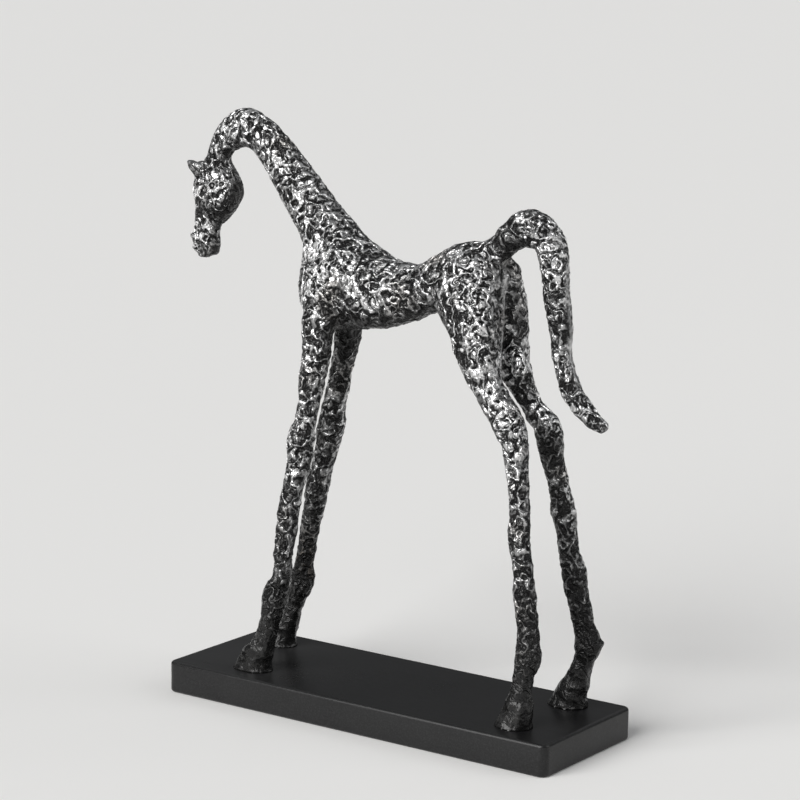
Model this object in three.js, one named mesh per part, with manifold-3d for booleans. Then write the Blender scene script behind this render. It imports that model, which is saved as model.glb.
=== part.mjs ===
// Standing horse on a slab plinth. Millimetres, +Z up, the horse faces -X.
// The origin is the middle of the plinth's underside.
// Heights in the tables below are above the plinth's top face.
import * as THREE from 'three';
import { mergeVertices } from 'three/addons/utils/BufferGeometryUtils.js';
import Module from 'manifold-3d';

// ---- driving sizes ----------------------------------------------------------
const PLINTH = { length: 300, width: 103, height: 21.3, edge: 2.2, corner: 5.6 };

// Joints of each spine: position, then half size in the fore-and-aft plane (a)
// and half size across the horse (b).
const TRUNK = [
  { name: 'breast',   at: [-65.5, 0, 260], a: 23.5, b: 14.5 },
  { name: 'shoulder', at: [-51, 0, 259.5], a: 28.5, b: 19.5 },
  { name: 'girth',    at: [-32, 0, 260],  a: 29, b: 21.5 },
  { name: 'ribs',     at: [-14, 0, 257.6], a: 24,  b: 21 },
  { name: 'waist',    at: [ 6,  0, 259], a: 19,  b: 18.5 },
  { name: 'flank',    at: [ 24, 0, 264],  a: 16, b: 16.5 },
  { name: 'loin',     at: [ 37, 0, 268.5], a: 18.8,  b: 18 },
  { name: 'croup',    at: [ 54, 0, 270], a: 26.6, b: 21.5 },
  { name: 'rump',     at: [ 71, 0, 267],  a: 25.5, b: 21.5 },
  { name: 'dock',     at: [ 82, 0, 264],  a: 17,   b: 15 },
];
const NECK = [
  { name: 'root',   at: [-40, 0, 264],     a: 24,   b: 18 },
  { name: 'withers',at: [-50.5, 0, 282],   a: 21.4,  b: 17 },
  { name: 'lower',  at: [-63.5, 0, 299.5], a: 17.6, b: 13.5 },
  { name: 'middle', at: [-82.4, 0, 322],   a: 15.3, b: 11 },
  { name: 'upper',  at: [-96, 0, 337.6],   a: 13.3, b: 10 },
  { name: 'rise',   at: [-110, 0, 350.5],  a: 12,   b: 9 },
  { name: 'crest',  at: [-125, 0, 355.6],  a: 12.9, b: 9.2 },
  { name: 'fall',   at: [-138, 0, 349.6], a: 10.4, b: 8.2 },
  { name: 'poll',   at: [-145.8, 0, 340],  a: 8.5,  b: 6.9 },
  { name: 'throat', at: [-148.6, 0, 331],  a: 8.8,  b: 6.8 },
];
const HEAD = [
  { name: 'crown',    at: [-149.5, 0, 331], a: 9,    b: 6.8 },
  { name: 'brow',     at: [-149, 0, 321.5], a: 16.8, b: 10 },
  { name: 'cheek',    at: [-149, 0, 311], a: 18.8, b: 11 },
  { name: 'jaw',      at: [-153.2, 0, 301], a: 13.7, b: 9.4 },
  { name: 'bridge',   at: [-156.8, 0, 292], a: 10, b: 7.4 },
  { name: 'nose',     at: [-158.2, 0, 283.5], a: 9.3,  b: 7 },
  { name: 'nostril',  at: [-158.2, 0, 276.5], a: 9.9,  b: 7.4 },
  { name: 'lip',      at: [-157, 0, 270.8], a: 8, b: 6.2 },
];
const EAR = [
  { name: 'root', at: [-155.5, 4.6, 321.5], a: 5.2, b: 4 },
  { name: 'low',  at: [-160.5, 5.1, 324.6], a: 4.6, b: 3.2 },
  { name: 'mid',  at: [-165, 4.9, 327.2],   a: 3.5, b: 2.5 },
  { name: 'high', at: [-168.4, 4.5, 329.1], a: 2.3, b: 1.8 },
  { name: 'tip',  at: [-170, 4.2, 330],     a: 1.3, b: 1.2 },
];

const TAIL = [
  { name: 'root',   at: [62, 0, 283],      a: 12,  b: 9 },
  { name: 'set',    at: [77, 0, 294.5],    a: 9,   b: 8 },
  { name: 'arch',   at: [87, 0, 303.5],    a: 10,  b: 8.8 },
  { name: 'top',    at: [97.5, 0, 308],    a: 12, b: 9.6 },
  { name: 'turn',   at: [108.3, 0, 305],   a: 11,  b: 9.4 },
  { name: 'fall',   at: [114.8, 0, 294],   a: 9.9, b: 8.6 },
  { name: 'upper',  at: [118, 0, 272],     a: 8.8, b: 7.9 },
  { name: 'middle', at: [122, 0, 247],     a: 7.7, b: 6.9 },
  { name: 'lower',  at: [126, 0, 223],     a: 6.5, b: 5.9 },
  { name: 'sweep',  at: [135, 0, 204.5],   a: 6.7, b: 5.9 },
  { name: 'end',    at: [153, 0, 190.4],   a: 4.4, b: 3.9 },
];

const LEGS = {
  foreNear: {
    joints: [
      { name: 'shoulder', at: [-48, -12, 262],     a: 15,  b: 11 },
      { name: 'elbow',    at: [-54, -14.5, 232],   a: 11,  b: 9.6 },
      { name: 'forearm',  at: [-55.5, -17, 200],   a: 9,   b: 8.2 },
      { name: 'taper',    at: [-59.5, -18.3, 174], a: 7,   b: 6.7 },
      { name: 'knee',     at: [-63.8, -19.2, 156], a: 9.2, b: 8.3 },
      { name: 'shin',     at: [-65.5, -21, 136],   a: 7.5, b: 7.2 },
      { name: 'cannon',   at: [-70, -23.2, 109],   a: 7.2, b: 6.8 },
      { name: 'ankle',    at: [-72, -27, 68],      a: 6.2, b: 6 },
      { name: 'fetlock',  at: [-76.6, -29, 50],    a: 9,   b: 7.8 },
      { name: 'pastern',  at: [-81, -30.5, 30],    a: 7,   b: 6.6 },
      { name: 'coronet',  at: [-86.5, -31, 14],    a: 8.6, b: 7.6 },
    ],
    hoof: [-94, -30.5],
    long: 29,
  },
  foreFar: {
    joints: [
      { name: 'shoulder', at: [-46, 12, 262],      a: 15,  b: 11 },
      { name: 'elbow',    at: [-51, 14.5, 230],    a: 10,  b: 9 },
      { name: 'forearm',  at: [-58, 17, 196],      a: 7.8, b: 7.2 },
      { name: 'taper',    at: [-64, 18, 176],      a: 8,   b: 7.2 },
      { name: 'knee',     at: [-67.8, 19, 158],    a: 9.8, b: 8.4 },
      { name: 'shin',     at: [-74.5, 20.5, 135],  a: 7.5, b: 7.2 },
      { name: 'cannon',   at: [-83, 22, 106],      a: 7.6, b: 7.2 },
      { name: 'ankle',    at: [-93, 24.3, 68],     a: 6.7, b: 6.4 },
      { name: 'fetlock',  at: [-95, 25, 49],       a: 8.8, b: 7.4 },
      { name: 'pastern',  at: [-102, 26, 32],      a: 6.2, b: 5.8 },
      { name: 'coronet',  at: [-110, 26.5, 14],    a: 7.8, b: 7.2 },
    ],
    hoof: [-117, 27],
    long: 27,
  },
  hindNear: {
    joints: [
      { name: 'haunch',   at: [60, -12, 268],      a: 20,  b: 13 },
      { name: 'thigh',    at: [67, -14, 243],      a: 17,  b: 13 },
      { name: 'stifle',   at: [72.5, -15.5, 222],  a: 13,  b: 11 },
      { name: 'gaskin',   at: [83, -16.6, 204],    a: 9.7, b: 8.8 },
      { name: 'cord',     at: [91.2, -17.3, 195],  a: 10, b: 9 },
      { name: 'hock',     at: [98.6, -18, 184.5],  a: 10.3, b: 9.2 },
      { name: 'shin',     at: [103, -19.3, 166],   a: 7.4, b: 7 },
      { name: 'cannon',   at: [108.6, -22, 131],   a: 6.9, b: 6.6 },
      { name: 'ankle',    at: [116, -26, 86],      a: 6.9, b: 6.5 },
      { name: 'fetlock',  at: [121.6, -28.3, 46],  a: 8.5, b: 7.3 },
      { name: 'pastern',  at: [118.8, -29.2, 30],  a: 6.8, b: 6.4 },
      { name: 'coronet',  at: [115.5, -29.6, 14],  a: 8.2, b: 7.4 },
    ],
    hoof: [112.3, -29.6],
    long: 25,
  },
  hindFar: {
    joints: [
      { name: 'haunch',   at: [66, 13, 266],       a: 20.5,  b: 13 },
      { name: 'thigh',    at: [71, 14, 243],       a: 17,  b: 13 },
      { name: 'stifle',   at: [76, 15.5, 222],     a: 12.5, b: 11 },
      { name: 'gaskin',   at: [86.3, 16.6, 203], a: 8.2, b: 7.6 },
      { name: 'cord',     at: [91.8, 17.4, 192],   a: 6.9, b: 6.6 },
      { name: 'hock',     at: [103, 18.4, 180.5],  a: 9.4, b: 8.2 },
      { name: 'shin',     at: [107, 20, 156],      a: 7.3, b: 6.9 },
      { name: 'cannon',   at: [113.5, 22.2, 125],  a: 7.3, b: 6.9 },
      { name: 'ankle',    at: [121.4, 25.7, 80],   a: 7.7, b: 7.2 },
      { name: 'cuff',     at: [127, 27.6, 54],     a: 7.3, b: 6.8 },
      { name: 'fetlock',  at: [130.4, 28.3, 43],   a: 9.4, b: 7.7 },
      { name: 'pastern',  at: [126, 28.8, 28],     a: 7.1, b: 6.6 },
      { name: 'coronet',  at: [121.5, 29, 14],     a: 8.8, b: 7.8 },
    ],
    hoof: [115.3, 29],
    long: 27,
  },
};
const HOOF = { width: 20, height: 15, topShare: 0.74, topWidth: 16, lean: 5 };

const SIDES = { body: 18, leg: 11, hoof: 14, ear: 8 };
const STEP = { body: 7, leg: 8 };

// ---- lofted bodies ----------------------------------------------------------
// Rings of ellipses along a smooth curve through the joints, closed at both ends
// by a rounded cap that is `cap` times the end ring's size long.
function loft(joints, sides, step, { cap = [0.6, 0.6], upright = false } = {}) {
  const path = new THREE.CatmullRomCurve3(joints.map((j) => new THREE.Vector3(...j.at)), false, 'centripetal');
  const size = new THREE.CatmullRomCurve3(joints.map((j) => new THREE.Vector3(j.a, j.b, 0)), false, 'catmullrom', 0.4);
  const spans = joints.length - 1;
  const ring = (t) => {
    const centre = path.getPoint(t);
    const dir = upright ? new THREE.Vector3(0, 0, 1) : path.getTangent(t);
    const across = new THREE.Vector3(0, 1, 0).addScaledVector(dir, -dir.y).normalize();
    const plane = across.clone().cross(dir);
    const half = size.getPoint(t);
    return { centre, dir, across, plane, a: half.x, b: half.y };
  };
  const rings = [];
  for (let i = 0; i < spans; i += 1) {
    const long = path.getPoint(i / spans).distanceTo(path.getPoint((i + 1) / spans));
    const n = Math.max(1, Math.round(long / step));
    for (let k = 0; k < n; k += 1) rings.push(ring((i + k / n) / spans));
  }
  rings.push(ring(1));
  const domed = (end, sign, reach) => {
    const small = Math.min(end.a, end.b) * reach;
    return [0.42, 0.8].map((h) => {
      const s = Math.sqrt(1 - h * h);
      return { ...end, centre: end.centre.clone().addScaledVector(end.dir, sign * small * h), a: end.a * s, b: end.b * s };
    });
  };
  if (cap[0] > 0) rings.unshift(...domed(rings[0], -1, cap[0]).reverse());
  if (cap[1] > 0) rings.push(...domed(rings[rings.length - 1], 1, cap[1]));

  const position = [];
  const index = [];
  for (const r of rings) {
    for (let j = 0; j < sides; j += 1) {
      const u = (2 * Math.PI * (j + 0.5)) / sides;
      const p = r.centre.clone().addScaledVector(r.plane, r.a * Math.cos(u)).addScaledVector(r.across, r.b * Math.sin(u));
      position.push(p.x, p.y, p.z);
    }
  }
  for (let i = 0; i + 1 < rings.length; i += 1) {
    for (let j = 0; j < sides; j += 1) {
      const p = i * sides + j;
      const q = i * sides + ((j + 1) % sides);
      index.push(p, q, p + sides, q, q + sides, p + sides);
    }
  }
  const ends = [[rings[0], -1, 0, cap[0]], [rings[rings.length - 1], 1, rings.length - 1, cap[1]]];
  for (const [r, sign, row, reach] of ends) {
    const full = reach > 0 ? Math.min(r.a, r.b) / Math.sqrt(1 - 0.64) * reach * 0.2 : 0;
    const p = r.centre.clone().addScaledVector(r.dir, sign * full);
    position.push(p.x, p.y, p.z);
    const pole = position.length / 3 - 1;
    for (let j = 0; j < sides; j += 1) {
      const a = row * sides + j;
      const b = row * sides + ((j + 1) % sides);
      if (sign > 0) index.push(a, b, pole); else index.push(b, a, pole);
    }
  }
  const g = new THREE.BufferGeometry();
  g.setAttribute('position', new THREE.Float32BufferAttribute(position, 3));
  g.setIndex(index);
  return g;
}

function hoof([x, y], length) {
  const { width, height, topShare, topWidth, lean } = HOOF;
  const wall = (h) => ({
    at: [x + lean * h, y, height * h],
    a: (length * (1 + (topShare - 1) * h)) / 2,
    b: (width + (topWidth - width) * h) / 2,
  });
  return loft([0, 0.12, 0.5, 1].map(wall), SIDES.hoof, 20, { cap: [0, 0.5], upright: true });
}

function ear(side) {
  const droop = side > 0 ? 0.4 : 0;
  const joints = EAR.map((j, i) => ({ ...j, at: [j.at[0] + droop * i, side * j.at[1], j.at[2] - droop * i] }));
  return loft(joints, SIDES.ear, 4, { cap: [0.4, 0.7] });
}

function slab({ length, width, height, edge, corner }) {
  const s = new THREE.Shape();
  const x = length / 2 - edge;
  const y = width / 2 - edge;
  const r = corner - edge;
  s.moveTo(-x + r, -y);
  s.lineTo(x - r, -y);
  s.absarc(x - r, -y + r, r, -Math.PI / 2, 0, false);
  s.lineTo(x, y - r);
  s.absarc(x - r, y - r, r, 0, Math.PI / 2, false);
  s.lineTo(-x + r, y);
  s.absarc(-x + r, y - r, r, Math.PI / 2, Math.PI, false);
  s.lineTo(-x, -y + r);
  s.absarc(-x + r, -y + r, r, Math.PI, 1.5 * Math.PI, false);
  const g = new THREE.ExtrudeGeometry(s, {
    depth: height - 2 * edge, bevelEnabled: true, bevelThickness: edge, bevelSize: edge, bevelSegments: 4, curveSegments: 5,
  });
  g.translate(0, 0, edge);
  return g;
}

// ---- joining ----------------------------------------------------------------
const wasm = await Module();
wasm.setup();

function solid(geometry) {
  let g = geometry.clone();
  for (const name of ['normal', 'uv']) if (g.getAttribute(name)) g.deleteAttribute(name);
  g = mergeVertices(g, 1e-4);
  return new wasm.Manifold(new wasm.Mesh({
    numProp: 3,
    vertProperties: new Float32Array(g.getAttribute('position').array),
    triVerts: new Uint32Array(g.getIndex().array),
  }));
}

function surface(body) {
  const m = body.getMesh();
  const g = new THREE.BufferGeometry();
  g.setAttribute('position', new THREE.BufferAttribute(new Float32Array(m.vertProperties), 3));
  g.setIndex(new THREE.BufferAttribute(new Uint32Array(m.triVerts), 1));
  g.computeVertexNormals();
  return g;
}

function horse() {
  const pieces = [
    loft(TRUNK, SIDES.body, STEP.body, { cap: [0.55, 0.55] }),
    loft(NECK, SIDES.body, STEP.body, { cap: [0.3, 0.4] }),
    loft(HEAD, 14, 6, { cap: [0.5, 0.55] }),
    loft(TAIL, 12, STEP.body, { cap: [0.5, 0.9] }),
    ear(-1),
    ear(1),
  ];
  for (const leg of Object.values(LEGS)) {
    pieces.push(loft(leg.joints, SIDES.leg, STEP.leg, { cap: [0.5, 0.25] }));
    pieces.push(hoof(leg.hoof, leg.long));
  }
  const joined = pieces.map(solid).reduce((all, piece) => all.add(piece));
  return surface(joined.translate([0, 0, PLINTH.height]));
}

// ---- the object -------------------------------------------------------------
const silver = new THREE.MeshStandardMaterial({ name: 'antique_silver', color: 0x77767a, metalness: 0.6, roughness: 0.42 });
const black = new THREE.MeshStandardMaterial({ name: 'satin_black', color: 0x1b1b1d, metalness: 0.0, roughness: 0.5 });

const group = new THREE.Group();
group.name = 'horse_sculpture';

const horseMesh = new THREE.Mesh(horse(), silver);
horseMesh.name = 'horse';
group.add(horseMesh);

const baseMesh = new THREE.Mesh(slab(PLINTH), black);
baseMesh.name = 'base';
group.add(baseMesh);

export default group;
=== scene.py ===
# Horse sculpture on a slab plinth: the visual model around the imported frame.
# Lengths in the tables are millimetres above the plinth's top face; the scene is in metres.
import math

import bpy
import numpy as np
from mathutils import Matrix


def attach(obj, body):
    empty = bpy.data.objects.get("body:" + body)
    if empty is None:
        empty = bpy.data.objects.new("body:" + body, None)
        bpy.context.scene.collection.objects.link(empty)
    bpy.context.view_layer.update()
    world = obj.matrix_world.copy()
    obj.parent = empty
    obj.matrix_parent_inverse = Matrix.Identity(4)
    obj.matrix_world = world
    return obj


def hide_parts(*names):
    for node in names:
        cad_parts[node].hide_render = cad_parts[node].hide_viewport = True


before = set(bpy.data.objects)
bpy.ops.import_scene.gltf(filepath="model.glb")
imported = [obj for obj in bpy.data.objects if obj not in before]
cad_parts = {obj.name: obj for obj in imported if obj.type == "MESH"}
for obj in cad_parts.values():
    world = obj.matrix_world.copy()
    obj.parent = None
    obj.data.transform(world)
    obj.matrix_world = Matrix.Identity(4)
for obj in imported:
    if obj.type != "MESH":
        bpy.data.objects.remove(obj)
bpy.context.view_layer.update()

MM = 0.001
PLINTH_L, PLINTH_W, PLINTH_H = 300.0, 103.0, 21.3
CELL = 1.27                      # mm, the mesh's grid

# ---- the horse's spines: x, y, z, half size fore and aft, half size across -----------------
TRUNK = [(-65.5, 0, 260, 23.5, 14.5), (-51, 0, 259.5, 28.5, 19.5), (-32, 0, 260, 29, 21.5), (-14, 0, 257.6, 24, 21),
         (6, 0, 259, 19, 18.5), (24, 0, 264, 16, 16.5), (37, 0, 268.5, 18.6, 17), (54, 0, 270, 26.6, 19),
         (69, 0, 267, 25.5, 16.5)]
NECK = [(-40, 0, 264, 24, 18), (-50.5, 0, 282, 21.4, 17), (-63.5, 0, 299.5, 17.6, 13.5), (-82.4, 0, 322, 15.3, 11),
        (-96, 0, 337.6, 13.4, 10), (-110, 0, 350.5, 12, 9), (-125, 0, 355.6, 12.9, 9.2), (-138, 0, 349.6, 10.4, 8.2),
        (-145.8, 0, 340, 8.5, 6.9), (-148.6, 0, 331, 8.8, 6.8)]
HEAD = [(-149.5, 0, 331, 9, 6.8), (-149, 0, 321.5, 16.4, 10), (-149, 0, 311, 18.8, 11), (-152.6, 0, 301, 14.0, 9.4),
        (-156.4, 0, 292.5, 10.2, 7.4), (-157.8, 0, 283.5, 9.3, 7), (-157.9, 0, 276.5, 10, 7.4), (-156.6, 0, 270.8, 8.2, 6.2)]
TAIL = [(62, 0, 283, 12, 9), (77, 0, 294.5, 8.6, 8), (87, 0, 303.5, 9.8, 8.8), (97.5, 0, 308, 12, 9.6),
        (108.3, 0, 305, 11, 9.4), (114.8, 0, 294, 9.9, 8.6), (117.6, 0, 272, 8.8, 7.9), (119.9, 0, 259, 8.4, 7.5),
        (122.2, 0, 246.8, 7.6, 6.9), (123, 0, 233.2, 6.6, 6.0), (126.5, 0, 221.8, 6.6, 5.9), (131.6, 0, 209.3, 7, 6.2),
        (140, 0, 200, 6.3, 5.6), (153, 0, 190.4, 4.5, 3.9)]
LEGS = {
    "fore_near": [(-48, -12, 262, 15, 11), (-53.5, -14.5, 234, 11, 9.6), (-54, -16, 212.4, 9.6, 8.7),
                  (-56.4, -17, 197.1, 8.8, 7.9), (-58.7, -18, 179.8, 7.1, 6.6), (-60.5, -18.5, 170.4, 7.3, 6.8),
                  (-63.7, -19, 157.4, 9.2, 8.4), (-63.6, -20, 147.6, 8.3, 7.6), (-64.9, -21, 137.6, 7.6, 7.3),
                  (-68.2, -22, 123.9, 7.1, 6.7), (-70, -23, 110.4, 7.4, 7), (-71.1, -24.5, 97, 6.9, 6.6),
                  (-71.7, -26, 83.7, 6.5, 6.2), (-72.6, -27, 67, 6.2, 6), (-76.6, -29, 51, 8.9, 7.8),
                  (-78.4, -30, 41.4, 7.5, 7), (-81, -30.5, 30.2, 7, 6.5), (-86, -31, 15, 8.6, 7.6)],
    "fore_far": [(-46, 12, 262, 15, 11), (-50.5, 14.5, 232, 10, 9), (-53, 16, 216.7, 8.6, 8),
                 (-57, 16.5, 202.8, 7.4, 6.8), (-59.9, 17, 189.1, 7.8, 7.2), (-64.2, 18, 174.9, 8.1, 7.3),
                 (-67.6, 19, 158.8, 9.8, 8.5), (-71.6, 20, 146.6, 8.3, 7.5), (-74.8, 20.5, 134.5, 7.5, 7.2),
                 (-80.2, 21.5, 117.7, 7.8, 7.4), (-82.8, 22, 105, 7.4, 7.1), (-87.3, 23, 88.8, 6.6, 6.4),
                 (-90.8, 24, 73.6, 6.2, 6.0), (-93.2, 24.5, 62.5, 6.4, 6.1), (-95, 25, 49.2, 8.7, 7.4),
                 (-101, 25.8, 34.1, 6.2, 5.8), (-109, 26.5, 15, 7.8, 7.2)],
    "hind_near": [(59, -11.5, 268, 20, 13), (64, -13, 254, 19, 13.6), (68, -14, 241, 16.6, 13), (71, -15, 230, 15, 12.2),
                  (74.5, -15.6, 218.7, 12.2, 10.6), (80.5, -16.1, 208.1, 10, 9), (89.2, -17, 197.4, 10, 9),
                  (98.6, -18, 184.6, 10.3, 9.3), (102, -18.5, 176, 8.8, 8.1), (103.7, -19, 165.6, 7.4, 7),
                  (106.5, -20.5, 150.5, 6.9, 6.6), (108.6, -21.5, 135.2, 6.9, 6.5), (109.6, -23, 119.1, 7, 6.6),
                  (113.2, -24.5, 104.7, 6.4, 6.2), (116.1, -26, 87.6, 6.9, 6.5), (119.4, -27, 69.2, 6.9, 6.6),
                  (121.2, -28, 55.3, 7.5, 6.8), (121.8, -28.5, 45.3, 8.6, 7.4), (119.6, -29, 36.3, 7, 6.5),
                  (117.9, -29.4, 26, 6.8, 6.4), (115.5, -29.6, 15, 8.2, 7.4)],
    "hind_far": [(65, 12.5, 266, 20, 13), (69, 13.5, 250, 18.6, 13.6), (71.5, 14.4, 238, 16.6, 12.8), (74, 15.2, 227, 14, 11.8),
                 (78, 15.8, 217, 11.2, 10), (83, 16.3, 207.5, 8.8, 8.2), (92, 17.5, 192.2, 7, 6.6),
                 (102.8, 18.5, 180.4, 9.3, 8.2), (104.6, 19, 168.3, 8.4, 7.6), (107.3, 20, 155.6, 7.2, 6.9),
                 (110.6, 21, 141.8, 6.8, 6.5), (113.3, 22, 127.1, 7.6, 7.2), (115.8, 23, 113.1, 7, 6.6),
                 (117.2, 24, 100.7, 6.4, 6.1), (120.4, 25, 90.1, 7.9, 7.4), (121.9, 26, 76.3, 7.5, 7.1),
                 (125, 27, 63.6, 7.1, 6.8), (127.6, 28, 51.5, 7.6, 7), (130.4, 28.3, 42.7, 9.5, 7.8),
                 (127.2, 28.6, 32, 6.9, 6.4), (124.4, 28.8, 24, 7.4, 6.9), (121.5, 29, 15, 8.8, 7.8)],
}
HOOVES = {"fore_near": (-94, -30.5, 29), "fore_far": (-117, 27, 27), "hind_near": (112.3, -29.6, 25), "hind_far": (115.3, 29, 27)}
HOOF_W, HOOF_H, HOOF_LEAN = 20.0, 17.0, 5.0


def hermite(points, step):
    """Dense samples of a smooth curve through rows of numbers whose first three are a place."""
    p = np.array(points, float)
    d = np.maximum(np.linalg.norm(np.diff(p[:, :3], axis=0), axis=1), 1e-3)
    slope = np.diff(p, axis=0) / d[:, None]
    m = np.empty_like(p)
    m[0], m[-1] = slope[0], slope[-1]
    m[1:-1] = (slope[:-1] * d[1:, None] + slope[1:] * d[:-1, None]) / (d[1:] + d[:-1])[:, None]
    out = []
    for i in range(len(d)):
        n = max(1, int(round(d[i] / step)))
        t = (np.arange(n) / n)[:, None]
        out.append((2 * t**3 - 3 * t**2 + 1) * p[i] + (t**3 - 2 * t**2 + t) * d[i] * m[i]
                   + (-2 * t**3 + 3 * t**2) * p[i + 1] + (t**3 - t**2) * d[i] * m[i + 1])
    out.append(p[-1:])
    return np.concatenate(out)


AZ, EL, ROLL = math.radians(35.35), math.radians(11.04), math.radians(0.73)
VIEW = np.array([math.sin(AZ) * math.cos(EL), -math.cos(AZ) * math.cos(EL), math.sin(EL)])


class Limb:
    """A spine with sections between an ellipse (power 2) and a rounded box. The half sizes are those of the
    ellipse with the same outline seen along VIEW."""

    def __init__(self, points, step=3.0, upright=False, power=2.0):
        s = hermite(points, step)
        self.c, self.a, self.b = s[:, :3], s[:, 3], s[:, 4]
        t = np.gradient(self.c, axis=0)
        if upright:
            t[:] = (0, 0, 1)
        t /= np.linalg.norm(t, axis=1)[:, None]
        n2 = np.array([0, 1.0, 0]) - t * t[:, 1:2]
        n2 /= np.linalg.norm(n2, axis=1)[:, None]
        self.t, self.n2, self.n1 = t, n2, np.cross(n2, t)
        self.power = power
        if power > 2:
            w = np.cross(t, VIEW)
            w /= np.linalg.norm(w, axis=1)[:, None]
            u, v = self.a * np.abs((w * self.n1).sum(1)), self.b * np.abs((w * self.n2).sum(1))
            q = power / (power - 1)
            k = np.sqrt(u * u + v * v) / (u**q + v**q) ** (1 / q)
            self.a, self.b = self.a * k, self.b * k
        self.s = np.r_[0, np.cumsum(np.linalg.norm(np.diff(self.c, axis=0), axis=1))]


def spaced(bands):
    """Grid planes from bands of (start, spacing), the last band being the end."""
    out = []
    for (x0, step), (x1, _) in zip(bands, bands[1:]):
        n = max(1, int(round((x1 - x0) / step)))
        out += list(x0 + (x1 - x0) * np.arange(n) / n)
    return np.array(out + [bands[-1][0]], np.float32)


# finer where the head is
AX = [spaced([(-178.0, 0.75), (-134.0, CELL), (164.0, 0)]),
      spaced([(-46.0, CELL), (46.0, 0)]),
      spaced([(-6.0, CELL), (266.0, 0.95), (335.0, CELL), (376.0, 0)])]
LO = np.array([a[0] for a in AX], float)
HI = np.array([a[-1] for a in AX], float)
DIM = [len(a) for a in AX]


def window(lo, hi):
    return tuple(slice(max(int(np.searchsorted(AX[k], lo[k])) - 1, 0), min(int(np.searchsorted(AX[k], hi[k])) + 2, DIM[k])) for k in range(3))


def places(w):
    return (AX[0][w[0]][:, None, None], AX[1][w[1]][None, :, None], AX[2][w[2]][None, None, :])


def ellipsoid_field(X, c, n1, n2, t, a, b, e, power=2.0):
    q = [X[k] - c[k] for k in range(3)]
    u = q[0] * n1[0] + q[1] * n1[1] + q[2] * n1[2]
    v = q[0] * n2[0] + q[1] * n2[1] + q[2] * n2[2]
    w = q[0] * t[0] + q[1] * t[1] + q[2] * t[2]
    if power > 2:
        k = ((np.abs(u) / a) ** power + (np.abs(v) / b) ** power + (np.abs(w) / e) ** power) ** (1 / power) + 1e-6
    else:
        k = np.sqrt((u / a) ** 2 + (v / b) ** 2 + (w / e) ** 2) + 1e-6
    r = np.sqrt(u * u + v * v + w * w)
    return r - r / k


def limb_field(limb, pad, cap):
    """Distance to a chain of tapering elliptic segments, on the grid's window around it."""
    rad = max(limb.a.max(), limb.b.max()) + pad
    w = window(limb.c.min(0) - rad, limb.c.max(0) + rad)
    out = np.full([s.stop - s.start for s in w], pad + 4.0, np.float32)
    n = len(limb.c)
    for i in range(n - 1):
        r = max(limb.a[i:i + 2].max(), limb.b[i:i + 2].max()) + pad
        sub = window(np.minimum(limb.c[i], limb.c[i + 1]) - r, np.maximum(limb.c[i], limb.c[i + 1]) + r)
        X = places(sub)
        d = limb.c[i + 1] - limb.c[i]
        h = ((X[0] - limb.c[i][0]) * d[0] + (X[1] - limb.c[i][1]) * d[1] + (X[2] - limb.c[i][2]) * d[2]) / (d @ d)
        h = np.clip(h, 0, 1)
        a = limb.a[i] + h * (limb.a[i + 1] - limb.a[i])
        b = limb.b[i] + h * (limb.b[i + 1] - limb.b[i])
        c = [limb.c[i][k] + h * d[k] for k in range(3)]
        n1 = [limb.n1[i][k] + h * (limb.n1[i + 1][k] - limb.n1[i][k]) for k in range(3)]
        n2 = [limb.n2[i][k] + h * (limb.n2[i + 1][k] - limb.n2[i][k]) for k in range(3)]
        t = [limb.t[i][k] + h * (limb.t[i + 1][k] - limb.t[i][k]) for k in range(3)]
        e = np.minimum(a, b) * cap
        f = ellipsoid_field(X, c, n1, n2, t, a, b, e, limb.power)
        here = tuple(slice(s.start - o.start, s.stop - o.start) for s, o in zip(sub, w))
        out[here] = np.minimum(out[here], f)
    return w, out


def merge(F, w, f, k):
    old = F[w]
    h = np.clip(0.5 + 0.5 * (old - f) / k, 0, 1)
    F[w] = old + (f - old) * h - k * h * (1 - h)


def lump(F, at, size, k, turn=0.0, cut=False):
    """Adds, or takes away, an ellipsoid turned by `turn` degrees about the horse's cross axis."""
    at, size = np.array(at, float), np.array(size, float)
    w = window(at - size.max() - 8, at + size.max() + 8)
    c, s = math.cos(math.radians(turn)), math.sin(math.radians(turn))
    X = places(w)
    f = ellipsoid_field(X, at, (c, 0, s), (0, 1, 0), (-s, 0, c), size[0], size[1], size[2])
    f = np.minimum(f, 12.0)
    if cut:
        old = F[w]
        h = np.clip(0.5 - 0.5 * (old + f) / k, 0, 1)
        F[w] = old + (-f - old) * h + k * h * (1 - h)
    else:
        merge(F, w, f, k)


def hoof_field(place, pad=8.0):
    x, y, length = place
    w = window(np.array([x - length, y - 16, -2.0]), np.array([x + length, y + 16, HOOF_H + pad]))
    X = places(w)
    h = np.clip(X[2] / HOOF_H, -0.1, 1.15)
    rim = 0.9 * np.exp(-(X[2] / 1.7) ** 2) - 0.5     # a thin lip round the sole
    a = length / 2 * (1 - 0.30 * h) + rim
    b = HOOF_W / 2 * (1 - 0.2 * h) + rim
    u = X[0] - (x + HOOF_LEAN * h)
    v = X[1] - y
    k = np.sqrt((np.abs(u) / a) ** 2.2 + (np.abs(v) / b) ** 2.2) + 1e-6
    r = np.sqrt(u * u + v * v)
    side = np.minimum(r - r / k, 14.0)
    top = X[2] - HOOF_H + 0 * side
    kk = 3.0                                       # rounds the hoof's upper rim
    hh = np.clip(0.5 + 0.5 * (top - side) / kk, 0, 1)
    return w, (side + (top - side) * hh + kk * hh * (1 - hh)).astype(np.float32)


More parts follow.
